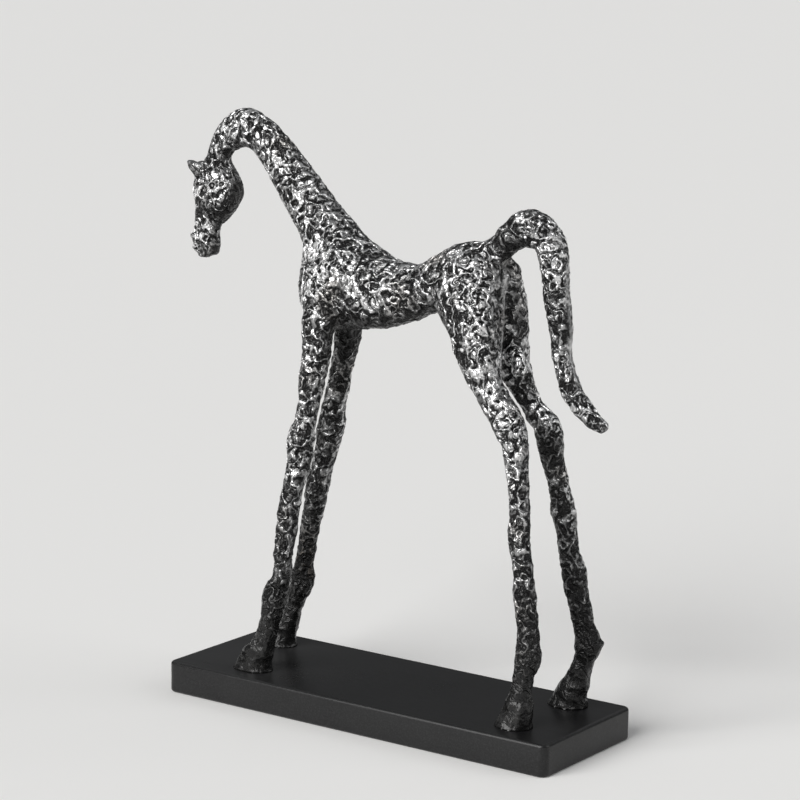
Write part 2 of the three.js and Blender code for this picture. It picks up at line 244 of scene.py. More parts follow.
def build_field():
    F = np.full(DIM, 16.0, np.float32)
    limbs = {}
    limbs["trunk"] = Limb(TRUNK, power=2.3)
    limbs["neck"] = Limb(NECK, power=2.4)
    limbs["head"] = Limb(HEAD, 2.5, power=2.9)
    limbs["tail"] = Limb(TAIL, power=2.3)
    for name, pts in LEGS.items():
        limbs[name] = Limb(pts, power=2.6)
    for name, k, cap in (("trunk", 1, 0.6), ("neck", 9, 0.5), ("head", 3.0, 0.62), ("tail", 3.0, 0.9),
                         ("hind_near", 3.2, 0.6), ("hind_far", 3.2, 0.6), ("fore_near", 4, 0.6), ("fore_far", 4, 0.6)):
        w, f = limb_field(limbs[name], 10.0, cap)
        merge(F, w, f, k)
    # chest, haunches and the seam down between them
    lump(F, (-60, 0, 252), (12, 16, 24), 6)
    for s in (-1, 1):
        lump(F, (-47, s * 14, 262), (15, 8.5, 24), 5, -12)         # shoulder
        lump(F, (57, s * 13, 266), (19, 9.5, 26), 4, -14)          # haunch
    for pts, power, k, cap in (([(66, 0, 262, 11, 9), (68.5, 0, 246, 8.5, 8), (71.5, 1, 231, 6.5, 8), (74.5, 1.5, 219, 3.8, 7)], 2.3, 3.0, 0.6),
                               ([(77.5, 0, 290, 3, 2.4), (78.2, 0, 272, 2.8, 2.2), (77.6, 0, 250, 2.8, 2.0), (76.6, 0.2, 232, 2.6, 2.0),
                                 (76.0, 0.4, 217, 2.2, 1.8)], 2.0, 1.2, 0.9)):
        w, f = limb_field(Limb(pts, power=power), 8.0, cap)
        merge(F, w, f, k)
    lump(F, (71.5, 8.5, 275), (14.5, 9, 13.5), 3.5)                # top of the far haunch
    lump(F, (72.4, -6, 292.6), (4.2, 3.4, 5.4), 1.6, -20)          # knuckle at the root of the tail
    lump(F, (87, 8, 222), (5, 5, 9), 2.5, 25)                      # inside of the far thigh
    # the head: a ledge along the top of the cheek, brow, eye, nostril, muzzle beads
    for s in (-1, 1):
        lump(F, (-147, s * 5.6, 312), (14.5, 6.4, 13.5), 2.5)      # cheek
        lump(F, (-147, s * 7.8, 324.6), (8.5, 3.4, 2.2), 1.8, -6)  # ledge
        lump(F, (-146.6, s * 9.8, 316.6), (8.5, 2.6, 8.0), 1.4, 20)   # raised plate with the eye in it
        lump(F, (-162.5, s * 5.2, 279.0), (3.6, 2.6, 3.2), 1.8)    # nostril's wing
        lump(F, (-163.6, s * 7.6, 278.6), (1.4, 1.2, 1.0), 0.8, cut=True)
        lump(F, (-157.5, s * 8.6, 272.6), (5.5, 1.5, 0.7), 0.6, 14, cut=True)
    for at, r in (((-166.6, -3.5, 281.2), 2.3), ((-166.2, 2.5, 277.0), 2.2), ((-164.2, -4, 273.8), 2.2), ((-165.8, -2, 286.2), 1.9)):
        lump(F, at, (r, r, r), 1.2)
    # ears: a leaf with a raised rim, hollowed on its outer front
    for s in (-1, 1):
        d = 0.4 if s > 0 else 0.0
        rows = [(-155.5, 4.6, 321.8, 5.6, 4.2), (-160.5, 5.1, 324.9, 5.0, 3.4), (-165.0, 4.9, 327.4, 3.9, 2.8), (-168.4, 4.5, 329.2, 2.7, 2.1),
                (-170.0, 4.2, 330.1, 1.7, 1.5)]
        ear = Limb([(x + d * i, s * y, z - d * i, a, b) for i, (x, y, z, a, b) in enumerate(rows)], 1.5)
        w, f = limb_field(ear, 6.0, 0.8)
        merge(F, w, f, 1.5)
        hollow = [(-159.5, 8.4, 322.9, 2.0, 2.6), (-163.6, 7.8, 325.9, 1.7, 2.3), (-167.2, 7.0, 328.3, 1.0, 1.6)]
        hollow = Limb([(x + d * i, s * y, z - d * i, a, b) for i, (x, y, z, a, b) in enumerate(hollow)], 1.5)
        w, f = limb_field(hollow, 5.0, 0.8)
        old = F[w]
        h = np.clip(0.5 - 0.5 * (old + f) / 1.1, 0, 1)
        F[w] = old + (-f - old) * h + 1.1 * h * (1 - h)
    for name, place in HOOVES.items():
        w, f = hoof_field(place)
        merge(F, w, f, 3.0)
    lump(F, (138.4, 28.3, 43.6), (2.6, 5.0, 2.4), 2.4, 40)
    # flat soles
    z = AX[2][None, None, :]
    np.maximum(F, -z + 0.0 * F[:, :, :1], out=F)
    return F, limbs


def surface_nets(F):
    """A closed quad mesh of the zero level: one vertex in each cell that it crosses."""
    S = F < 0
    n = np.array(F.shape)
    core = S[:-1, :-1, :-1]
    mixed = np.zeros(core.shape, bool)
    for dx in (0, 1):
        for dy in (0, 1):
            for dz in (0, 1):
                mixed |= S[dx:n[0] - 1 + dx, dy:n[1] - 1 + dy, dz:n[2] - 1 + dz] != core
    cells = np.argwhere(mixed)
    number = np.full(mixed.shape, -1, np.int32)
    number[mixed] = np.arange(len(cells), dtype=np.int32)
    acc = np.zeros((len(cells), 3))
    cnt = np.zeros(len(cells))
    corner = {}
    for dx in (0, 1):
        for dy in (0, 1):
            for dz in (0, 1):
                corner[dx, dy, dz] = F[cells[:, 0] + dx, cells[:, 1] + dy, cells[:, 2] + dz].astype(float)
    for axis in range(3):
        for i in (0, 1):
            for j in (0, 1):
                a = [0, 0, 0]
                o = [k for k in range(3) if k != axis]
                a[o[0]], a[o[1]] = i, j
                b = list(a)
                b[axis] = 1
                fa, fb = corner[tuple(a)], corner[tuple(b)]
                hit = (fa < 0) != (fb < 0)
                t = np.where(hit, fa / np.where(hit, fa - fb, 1), 0)
                p = np.tile(np.array(a, float), (len(cells), 1))
                p[:, axis] = t
                acc += p * hit[:, None]
                cnt += hit
    part = acc / cnt[:, None]
    verts = np.stack([AX[k][cells[:, k]] + part[:, k] * (AX[k][cells[:, k] + 1] - AX[k][cells[:, k]]) for k in range(3)], 1).astype(float)
    quads = []
    for axis in range(3):
        o = [k for k in range(3) if k != axis]
        sl0 = [slice(1, -1)] * 3
        sl0[axis] = slice(0, n[axis] - 1)
        sl1 = list(sl0)
        sl1[axis] = slice(1, n[axis])
        s0, s1 = S[tuple(sl0)], S[tuple(sl1)]
        e = np.argwhere(s0 != s1)
        inside_low = s0[tuple(e.T)]
        base = e.copy()
        base[:, o[0]] += 1
        base[:, o[1]] += 1
        q = []
        for i, j in ((0, 0), (1, 0), (1, 1), (0, 1)):
            c = base.copy()
            c[:, o[0]] -= i
            c[:, o[1]] -= j
            q.append(number[tuple(c.T)])
        q = np.stack(q, 1)
        flip = inside_low if axis == 1 else ~inside_low
        q[flip] = q[flip][:, ::-1]
        quads.append(q)
    return verts, np.concatenate(quads)


def mend(F):
    """Fills the field a little wherever two sheets of the surface meet in one edge, until none do."""
    for _ in range(8):
        P, quads = surface_nets(F)
        e = np.sort(quads[:, [0, 1, 1, 2, 2, 3, 3, 0]].reshape(-1, 2), 1).astype(np.int64)
        keys, count = np.unique(e[:, 0] * len(P) + e[:, 1], return_counts=True)
        bad = keys[count != 2]
        if not len(bad):
            break
        for p in (P[bad // len(P)] + P[bad % len(P)]) / 2:
            w = window(p - 3, p + 3)
            X = places(w)
            F[w] -= 0.35 * np.exp(-((X[0] - p[0]) ** 2 + (X[1] - p[1]) ** 2 + (X[2] - p[2]) ** 2) / 2.0)
    return P, quads


def sample(F, P):
    i = np.stack([np.clip(np.searchsorted(AX[k], P[:, k], side="right") - 1, 0, F.shape[k] - 2) for k in range(3)], 1)
    f = np.stack([(P[:, k] - AX[k][i[:, k]]) / (AX[k][i[:, k] + 1] - AX[k][i[:, k]]) for k in range(3)], 1)
    out = 0
    for dx in (0, 1):
        for dy in (0, 1):
            for dz in (0, 1):
                w = (f[:, 0] if dx else 1 - f[:, 0]) * (f[:, 1] if dy else 1 - f[:, 1]) * (f[:, 2] if dz else 1 - f[:, 2])
                out = out + w * F[i[:, 0] + dx, i[:, 1] + dy, i[:, 2] + dz]
    return out


def gradient(F, P, h=1.0):
    g = np.empty_like(P)
    for k in range(3):
        e = np.zeros(3)
        e[k] = h
        g[:, k] = (sample(F, P + e) - sample(F, P - e)) / (2 * h)
    return g


# ---- noise -------------------------------------------------------------------------------
def hash3(i, seed):
    i = i.astype(np.int64)
    h = (i[..., 0] * 73856093) ^ (i[..., 1] * 19349663) ^ (i[..., 2] * 83492791) ^ (seed * 2654435761)
    h &= 0xFFFFFFFF
    h = ((h ^ (h >> 15)) * 2246822519) & 0xFFFFFFFF
    h = ((h ^ (h >> 13)) * 3266489917) & 0xFFFFFFFF
    return h ^ (h >> 16)


def perlin(P, size, seed=0):
    """Gradient noise, about -1 to 1, with features about `size` across."""
    q = P / size
    i = np.floor(q)
    f = q - i
    u = f * f * f * (f * (f * 6 - 15) + 10)
    out = 0
    for dx in (0, 1):
        for dy in (0, 1):
            for dz in (0, 1):
                o = np.array([dx, dy, dz])
                h = hash3(i + o, seed)
                g = np.stack([(h & 1023) / 511.5 - 1, ((h >> 10) & 1023) / 511.5 - 1, ((h >> 20) & 1023) / 511.5 - 1], -1)
                d = (g * (f - o)).sum(-1)
                w = (u[:, 0] if dx else 1 - u[:, 0]) * (u[:, 1] if dy else 1 - u[:, 1]) * (u[:, 2] if dz else 1 - u[:, 2])
                out = out + w * d
    return out * 1.35


def relief(P, fine):
    """Height in mm of the broader lumps. `fine` is 1 on the body and falls to 0 on the hooves."""
    warp = np.stack([perlin(P, 5.0, s) for s in (11, 12, 13)], 1) * 2.2
    lumps = perlin(P + warp * 0.8, 7.0, 3)
    small = perlin(P + warp * 0.5, 4.2, 5)
    broad = perlin(P, 15.0, 4)
    return (0.85 * lumps + 0.50 * broad + 0.36 * small) * (0.9 + 0.1 * fine)


def smoothstep(x, a, b):
    t = np.clip((x - a) / (b - a), 0, 1)
    return t * t * (3 - 2 * t)


def new_material(name):
    m = bpy.data.materials.new(name)
    m.use_nodes = True
    nt = m.node_tree
    nt.nodes.clear()
    return m, nt


class Nodes:
    """Short names for making shader nodes."""

    def __init__(self, nt):
        self.nt = nt

    def add(self, kind, **inputs):
        n = self.nt.nodes.new(kind)
        return self.fill(n, inputs)

    def fill(self, n, inputs):
        for key, v in inputs.items():
            s = n.inputs[int(key[1:])] if key.startswith("_") and key[1:].isdigit() else n.inputs[key.replace("_", " ")]
            if isinstance(v, bpy.types.NodeSocket):
                self.nt.links.new(v, s)
            else:
                s.default_value = v
        return n

    def math(self, op, a, b=0.0, clamp=False):
        n = self.nt.nodes.new("ShaderNodeMath")
        n.operation = op
        n.use_clamp = clamp
        for k, v in enumerate((a, b)):
            if isinstance(v, bpy.types.NodeSocket):
                self.nt.links.new(v, n.inputs[k])
            else:
                n.inputs[k].default_value = v
        return n.outputs[0]

    def range(self, v, a, b, c=0.0, d=1.0, smooth=True):
        n = self.nt.nodes.new("ShaderNodeMapRange")
        n.interpolation_type = "SMOOTHSTEP" if smooth else "LINEAR"
        n.clamp = True
        self.nt.links.new(v, n.inputs[0])
        for k, x in enumerate((a, b, c, d)):
            n.inputs[k + 1].default_value = x
        return n.outputs[0]

    def mix(self, f, a, b):
        n = self.nt.nodes.new("ShaderNodeMix")
        n.data_type = "RGBA"
        for s, v in ((n.inputs[0], f), (n.inputs[6], a), (n.inputs[7], b)):
            if isinstance(v, bpy.types.NodeSocket):
                self.nt.links.new(v, s)
            else:
                s.default_value = v
        return n.outputs[2]

    def attribute(self, name):
        n = self.nt.nodes.new("ShaderNodeAttribute")
        n.attribute_name = name
        return n.outputs["Fac"]


def shift(N, co, amount):
    n = N.nt.nodes.new("ShaderNodeVectorMath")
    n.operation = "ADD"
    N.nt.links.new(co, n.inputs[0])
    if isinstance(amount, bpy.types.NodeSocket):
        N.nt.links.new(amount, n.inputs[1])
    else:
        n.inputs[1].default_value = amount
    return n.outputs[0]


def scaled(N, v, k):
    n = N.nt.nodes.new("ShaderNodeVectorMath")
    n.operation = "SCALE"
    N.nt.links.new(v, n.inputs[0])
    n.inputs[3].default_value = k
    return n.outputs[0]


def noise(N, co, size, detail=0.0, rough=0.5, lacunarity=2.0):
    """Noise with features about `size` millimetres across."""
    n = N.add("ShaderNodeTexNoise", Vector=co, Scale=1000.0 / size, Detail=detail, Roughness=rough, Lacunarity=lacunarity)
    return n.outputs[0], n.outputs[1]


def crests(N, co, size, width):
    """Rounded crests along the middle value of a noise: 1 on the crest, 0 away from it."""
    d = N.math("ABSOLUTE", N.math("SUBTRACT", noise(N, co, size)[0], 0.5))
    return N.range(d, 0.0, width, 1.0, 0.0)


def dabs(N, co, sharp=True):
    """The worked skin of the casting: short crossing ridges and pressed dabs, 0 in the pits to 1 on the ridges.
    `sharp` adds the narrow creases that run beside the ridges, too fine for the mesh."""
    bend = scaled(N, shift(N, noise(N, co, 5.6, 1.0)[1], (-0.5, -0.5, -0.5)), 0.0062)
    w = shift(N, co, bend)
    turns = N.math("FRACT", N.math("MULTIPLY", noise(N, w, 12.0, 1.0)[0], 5.0))
    d = N.math("ABSOLUTE", N.math("SUBTRACT", turns, 0.5))
    one = N.range(d, 0.04, 0.30, 1.0, 0.0)
    two = crests(N, shift(N, w, (0.31, 0.17, 0.53)), 3.9, 0.14)
    lumps = N.range(noise(N, shift(N, w, (0.7, 0.2, 0.1)), 6.5)[0], 0.36, 0.62, 0.0, 1.0)
    small = N.range(noise(N, shift(N, w, (0.2, 0.9, 0.4)), 2.6)[0], 0.34, 0.66, 0.0, 1.0)
    h = N.math("ADD", N.math("MULTIPLY", one, 0.42), N.math("MULTIPLY", two, 0.22))
    h = N.math("ADD", h, N.math("MULTIPLY", lumps, 0.20))
    h = N.math("ADD", h, N.math("MULTIPLY", small, 0.24))
    if sharp:
        crease = N.range(N.math("ABSOLUTE", N.math("SUBTRACT", d, 0.37)), 0.0, 0.11, 1.0, 0.0)
        cuts = crests(N, shift(N, w, (0.9, 0.4, 0.6)), 5.4, 0.055)
        h = N.math("SUBTRACT", h, N.math("ADD", N.math("MULTIPLY", crease, 0.22), N.math("MULTIPLY", cuts, 0.22)))
    return h


def eyes(N, co, h):
    """Two rings pressed into each cheek plate, the front one being the eye."""
    sep = N.nt.nodes.new("ShaderNodeSeparateXYZ")
    N.nt.links.new(co, sep.inputs[0])
    side = N.math("ABSOLUTE", sep.outputs[1])
    for (x, y, z), r, w, deep in (((-143.9, 11.6, 317.0), 1.65, 0.6, 1.0), ((-137.6, 11.2, 318.2), 1.0, 0.5, 0.6)):
        z += PLINTH_H
        d2 = N.math("ADD", N.math("POWER", N.math("SUBTRACT", sep.outputs[0], x * MM), 2.0), N.math("POWER", N.math("SUBTRACT", sep.outputs[2], z * MM), 2.0))
        d = N.math("MULTIPLY", N.math("SQRT", d2), 1000.0)
        near = N.range(side, (y - 6) * MM, (y - 4) * MM, 0.0, 1.0)
        ring = N.math("MULTIPLY", N.range(N.math("ABSOLUTE", N.math("SUBTRACT", d, r)), 0.0, w, 1.0, 0.0), near)
        lid = N.math("MULTIPLY", N.range(N.math("ABSOLUTE", N.math("SUBTRACT", d, r + 1.0)), 0.0, 0.7, 1.0, 0.0), near)
        ball = N.math("MULTIPLY", N.range(d, 0.0, r * 0.7, 1.0, 0.0), near)
        inside = N.math("MULTIPLY", N.range(d, r + 0.8, r + 1.6, 1.0, 0.0), near)
        h = N.math("MULTIPLY", h, N.math("SUBTRACT", 1.0, N.math("MULTIPLY", inside, 0.7 * deep)))
        h = N.math("ADD", h, N.math("ADD", N.math("MULTIPLY", lid, 0.65 * deep), N.math("MULTIPLY", ball, 0.5 * deep)))
        h = N.math("SUBTRACT", h, N.math("MULTIPLY", ring, 0.5 * deep))
    return h


def silver_material():
    m, nt = new_material("antique_silver")
    N = Nodes(nt)
    at = nt.nodes.new("ShaderNodeAttribute")
    at.attribute_name = "rest"
    co = at.outputs["Vector"]
    worked = N.attribute("worked")          # 1 where the skin is dabbed, 0 on the hooves
    polish = N.attribute("polish")          # how far the finisher's cloth brought the silver up, with painted highlights and painted shade laid over it by facing and by place
    h = dabs(N, co)
    h = eyes(N, co, h)
    fine = noise(N, co, 1.3, 2.0, 0.6)[0]
    patch = noise(N, co, 17.0, 2.0, 0.6)[0]
    even = N.math("SUBTRACT", 1.0, worked)
    amount = N.math("ADD", N.math("MULTIPLY", h, worked), N.math("MULTIPLY", even, 0.55))
    amount = N.math("ADD", amount, N.math("MULTIPLY", N.math("MULTIPLY", N.math("SUBTRACT", fine, 0.5), worked), 0.32))
    amount = N.math("ADD", amount, N.math("MULTIPLY", N.math("SUBTRACT", patch, 0.5), 0.6))
    amount = N.math("MULTIPLY", amount, polish)
    show = N.math("POWER", N.range(amount, 0.14, 0.72, smooth=False), 1.4)
    warm = N.attribute("warm")
    silver = N.mix(warm, (0.80, 0.80, 0.803, 1), (0.69, 0.59, 0.49, 1))
    dark = N.mix(fine, (0.003, 0.003, 0.0032, 1), (0.012, 0.0118, 0.0115, 1))
    base = N.mix(show, dark, silver)
    rough = N.math("ADD", N.range(show, 0.0, 0.5, 0.27, 0.29, smooth=False), N.math("MULTIPLY", N.math("MULTIPLY", N.math("SUBTRACT", fine, 0.5), worked), 0.20))
    metal = N.range(show, 0.0, 0.3, 0.2, 1.0, smooth=False)
    tall = N.math("ADD", N.math("MULTIPLY", h, N.range(worked, 0.1, 1.0, 0.06, 1.0, smooth=False)), N.math("MULTIPLY", fine, N.range(worked, 0.3, 1.0, 0.01, 0.12, smooth=False)))
    facet = N.add("ShaderNodeTexVoronoi", Vector=shift(N, co, scaled(N, noise(N, co, 9.0)[1], 0.004)), Scale=115.0).outputs[0]
    tall = N.math("ADD", tall, N.math("MULTIPLY", N.math("MULTIPLY", facet, even), 0.9))      # broad planes on the hooves and fetlocks
    bump = N.add("ShaderNodeBump", Strength=1.0, Distance=0.0018, Height=tall)
    bsdf = N.add("ShaderNodeBsdfPrincipled", Base_Color=base, Roughness=rough, Metallic=metal, Normal=bump.outputs[0])
    nt.links.new(N.range(worked, 0.2, 0.9, 0.42, 0.22, smooth=False), bsdf.inputs["Specular IOR Level"])
    out = N.add("ShaderNodeOutputMaterial")
    nt.links.new(bsdf.outputs[0], out.inputs[0])
    return m


def emboss(ob, depth):
    """Raises the same worked skin in the mesh itself, along its normals."""
    g = bpy.data.node_groups.new("worked_skin", "GeometryNodeTree")
    g.interface.new_socket("Geometry", in_out="INPUT", socket_type="NodeSocketGeometry")
    g.interface.new_socket("Geometry", in_out="OUTPUT", socket_type="NodeSocketGeometry")
    N = Nodes(g)
    gin, gout = g.nodes.new("NodeGroupInput"), g.nodes.new("NodeGroupOutput")

    def named(name, kind, out):
        n = g.nodes.new("GeometryNodeInputNamedAttribute")
        n.data_type = kind
        n.inputs[0].default_value = name
        return n.outputs[0]
    co = named("rest", "FLOAT_VECTOR", 0)
    amount = named("worked", "FLOAT", 0)
    h = N.math("MULTIPLY", N.math("SUBTRACT", dabs(N, co, False), 0.45), N.math("MULTIPLY", amount, depth * MM))
    nrm = named("out", "FLOAT_VECTOR", 0)
    sc = g.nodes.new("ShaderNodeVectorMath")
    sc.operation = "SCALE"
    g.links.new(nrm, sc.inputs[0])
    g.links.new(h, sc.inputs[3])
    sp = g.nodes.new("GeometryNodeSetPosition")
    g.links.new(gin.outputs[0], sp.inputs["Geometry"])
    g.links.new(sc.outputs[0], sp.inputs["Offset"])
    g.links.new(sp.outputs[0], gout.inputs[0])
    mod = ob.modifiers.new("worked_skin", "NODES")
    mod.node_group = g
    graph = bpy.context.evaluated_depsgraph_get()
    done = bpy.data.meshes.new_from_object(ob.evaluated_get(graph))
    ob.modifiers.remove(mod)
    ob.data = done
    done.name = ob.name


def lacquer_material():
    m, nt = new_material("satin_black")
    N = Nodes(nt)
    co = N.add("ShaderNodeTexCoord").outputs["Object"]
    edge = N.attribute("edge")
    grain = noise(N, co, 1.1, 3.0, 0.6)[0]
    haze = noise(N, co, 45.0, 3.0, 0.6)[0]
    drag = N.add("ShaderNodeMapping", Vector=co, Scale=(0.06, 1.0, 1.0)).outputs[0]
    wipe = noise(N, drag, 7.0, 3.0, 0.6)[0]                      # the cloth's long faint strokes
    tone = N.mix(haze, (0.0050, 0.0050, 0.0053, 1), (0.0090, 0.0090, 0.0093, 1))
    sep = nt.nodes.new("ShaderNodeSeparateXYZ")
    nt.links.new(co, sep.inputs[0])
    painted_sheen = N.math("MULTIPLY", N.range(sep.outputs[0], -0.150, 0.010, 1.0, 0.0), N.range(sep.outputs[2], 0.0205, 0.0213, 0.0, 1.0))
    tone = N.mix(N.math("MULTIPLY", painted_sheen, N.range(wipe, 0.2, 0.8, 0.7, 1.0)), tone, (0.026, 0.026, 0.0265, 1))     # a painted sheen on the top face, lighter toward the head's end
    rub = N.math("MULTIPLY", edge, N.range(grain, 0.40, 0.75))
    base = N.mix(N.math("MULTIPLY", rub, 0.30), tone, (0.06, 0.06, 0.062, 1))
    rough = N.math("ADD", N.range(haze, 0.3, 0.7, 0.27, 0.35), N.math("MULTIPLY", N.math("SUBTRACT", wipe, 0.5), 0.10))
    bump = N.add("ShaderNodeBump", Strength=0.05, Distance=0.00003, Height=N.math("ADD", wipe, N.math("MULTIPLY", grain, 0.15)))
    bsdf = N.add("ShaderNodeBsdfPrincipled", Base_Color=base, Roughness=rough, Metallic=0.0, Normal=bump.outputs[0])
    bsdf.inputs["Specular IOR Level"].default_value = 0.34
    out = N.add("ShaderNodeOutputMaterial")
    nt.links.new(bsdf.outputs[0], out.inputs[0])
    return m


def make_object(name, verts, faces, material, smooth=True):
    me = bpy.data.meshes.new(name)
    me.from_pydata(verts, [], faces)
    me.validate()
    me.update()
    ob = bpy.data.objects.new(name, me)
    bpy.context.scene.collection.objects.link(ob)
    me.materials.append(material)
    if smooth:
        me.polygons.foreach_set("use_smooth", np.ones(len(me.polygons), bool))
    return ob


def fast_mesh(name, P, quads, material):
    me = bpy.data.meshes.new(name)
    me.vertices.add(len(P))
    me.vertices.foreach_set("co", P.astype(np.float32).ravel())
    me.loops.add(len(quads) * 4)
    me.loops.foreach_set("vertex_index", quads.astype(np.int32).ravel())
    me.polygons.add(len(quads))
    me.polygons.foreach_set("loop_start", np.arange(0, len(quads) * 4, 4, dtype=np.int32))
    me.polygons.foreach_set("use_smooth", np.ones(len(quads), bool))
    me.update(calc_edges=True)
    me.validate()
    ob = bpy.data.objects.new(name, me)
    bpy.context.scene.collection.objects.link(ob)
    me.materials.append(material)
    return ob


def add_attribute(me, name, values):
    at = me.attributes.new(name, "FLOAT", "POINT")
    at.data.foreach_set("value", values.astype(np.float32))


def add_vectors(me, name, values):
    at = me.attributes.new(name, "FLOAT_VECTOR", "POINT")
    at.data.foreach_set("vector", values.astype(np.float32).ravel())


def nearest(limbs, P):
    """For each point, the number of the limb that it belongs to."""
    best = np.full(len(P), 1e9)
    which = np.zeros(len(P), int)
    for n, limb in enumerate(limbs.values()):
        near = np.flatnonzero(((P > limb.c.min(0) - 40) & (P < limb.c.max(0) + 40)).all(1))
        for part in np.array_split(near, len(near) // 20000 + 1):
            r = np.sqrt(((P[part][:, None, :] - limb.c[None]) ** 2).sum(-1)) / np.maximum(limb.a, limb.b)[None]
            r = r.min(1)
            closer = r < best[part]
            best[part[closer]] = r[closer]
            which[part[closer]] = n
    return which


def unfold(P, n, quads, limbs):
    """Places in the unit square for the corners of the faces: the skin cut into flat charts, one for each way that a
    limb's skin looks, turned upright and stood side by side on shelves."""
    fn = n[quads].sum(1)
    fn /= np.linalg.norm(fn, axis=1)[:, None]
    look = np.abs(fn).argmax(1)
    look = look * 2 + (np.take_along_axis(fn, look[:, None], 1)[:, 0] > 0)
    kind = nearest(limbs, P[quads].mean(1)) * 6 + look
    e = np.sort(quads[:, [0, 1, 1, 2, 2, 3, 3, 0]].reshape(-1, 2), 1).astype(np.int64)
    face = np.argsort(e[:, 0] * len(P) + e[:, 1], kind="stable") // 4
    a, b = face[0::2], face[1::2]                  # each edge has two faces

    def parts():
        label = np.arange(len(quads))
        same = kind[a] == kind[b]
        x, y = a[same], b[same]
        while True:
            low = np.minimum(label[x], label[y])
            new = label.copy()
            for at in (x, y, label[x], label[y]):
                np.minimum.at(new, at, low)
            new = new[new]
            if (new == label).all():
                return np.unique(label, return_inverse=True)[1].ravel()
            label = new
    for _ in range(14):
        part = parts()
        small = np.bincount(part)[part] < 120
        for x, y in ((a, b), (b, a)):
            way = kind[y] % 6
            ok = small[x] & ~small[y] & (fn[x, way // 2] * (way % 2 * 2 - 1) > 0.2)
            kind[x[ok]] = kind[y[ok]]
    part = parts()
    axis, sign = kind % 6 // 2, (kind % 2 * 2 - 1)[:, None]
    q = P[quads]
    flat = np.empty((len(quads), 4, 2))
    for k, (i, j, turn) in enumerate(((1, 2, 1), (0, 2, -1), (0, 1, 1))):
        on = axis == k
        flat[on, :, 0] = q[on, :, i] * sign[on] * turn
        flat[on, :, 1] = q[on, :, j]
    order = np.argsort(part, kind="stable")
    groups = np.split(order, np.flatnonzero(np.diff(part[order])) + 1)
    # upright charts, tallest first, each let down to the lowest place that it fits in the skyline of those before it
    gap, shapes = 1.0, []
    for g in groups:
        p = flat[g].reshape(-1, 2)
        p = p - p.mean(0)
        long = np.linalg.eigh(p.T @ p)[1][:, 1]
        p = np.stack([p @ (long[1], -long[0]), p @ long], 1)
        p -= p.min(0) - gap / 2
        flat[g] = p.reshape(-1, 4, 2)
        cols = int(math.ceil(p[:, 0].max() + gap / 2)) + 1
        low, high = np.full(cols, 1e6), np.full(cols, -1e6)
        for shift_x in (-gap / 2, 0.0, gap / 2):
            c = (p[:, 0] + shift_x).astype(int).clip(0, cols - 1)
            np.minimum.at(low, c, p[:, 1] - gap / 2)
            np.maximum.at(high, c, p[:, 1] + gap / 2)
        shapes.append((low, high))
    tall = sorted(range(len(groups)), key=lambda i: -shapes[i][1].max())
    best = None
    for width in range(300, 470, 6):
        sky, at, top = np.zeros(width), {}, 0.0
        for i in tall:
            low, high = shapes[i]
            h = high.max()
            if len(low) > width:
                top = 1e6
                break
            found = None
            for turned in (False, True):
                lo, hi = (h - high[::-1], h - low[::-1]) if turned else (low, high)
                used = hi > lo
                room = np.lib.stride_tricks.sliding_window_view(sky, len(lo))
                y = np.where(used, room - np.where(used, lo, 0), -1e6).max(1)
                waste = y * used.sum() + np.where(used, np.where(used, lo, 0) - room, 0).sum(1)
                score = np.maximum(y + h, 0) + 0.02 * waste / used.sum()
                x = int(score.argmin())
                if found is None or score[x] < found[0]:
                    found = (score[x], x, max(y[x], 0.0), turned, lo, hi, used)
            _, x, y, turned, lo, hi, used = found
            sky[x:x + len(lo)] = np.where(used, y + hi, sky[x:x + len(lo)])
            at[i] = (x, y, turned, len(lo), h)
            top = max(top, y + h)
        if best is None or max(width, top) < best[0]:
            best = (max(width, top), at)
    side, at = best
    for i, g in enumerate(groups):
        x, y, turned, cols, h = at[i]
        if turned:
            flat[g] = np.array([cols, h]) - flat[g]
        flat[g] += (x, y)
    print("skin charts:", len(groups), "sheet", round(side, 1), "mm")
    return flat / side


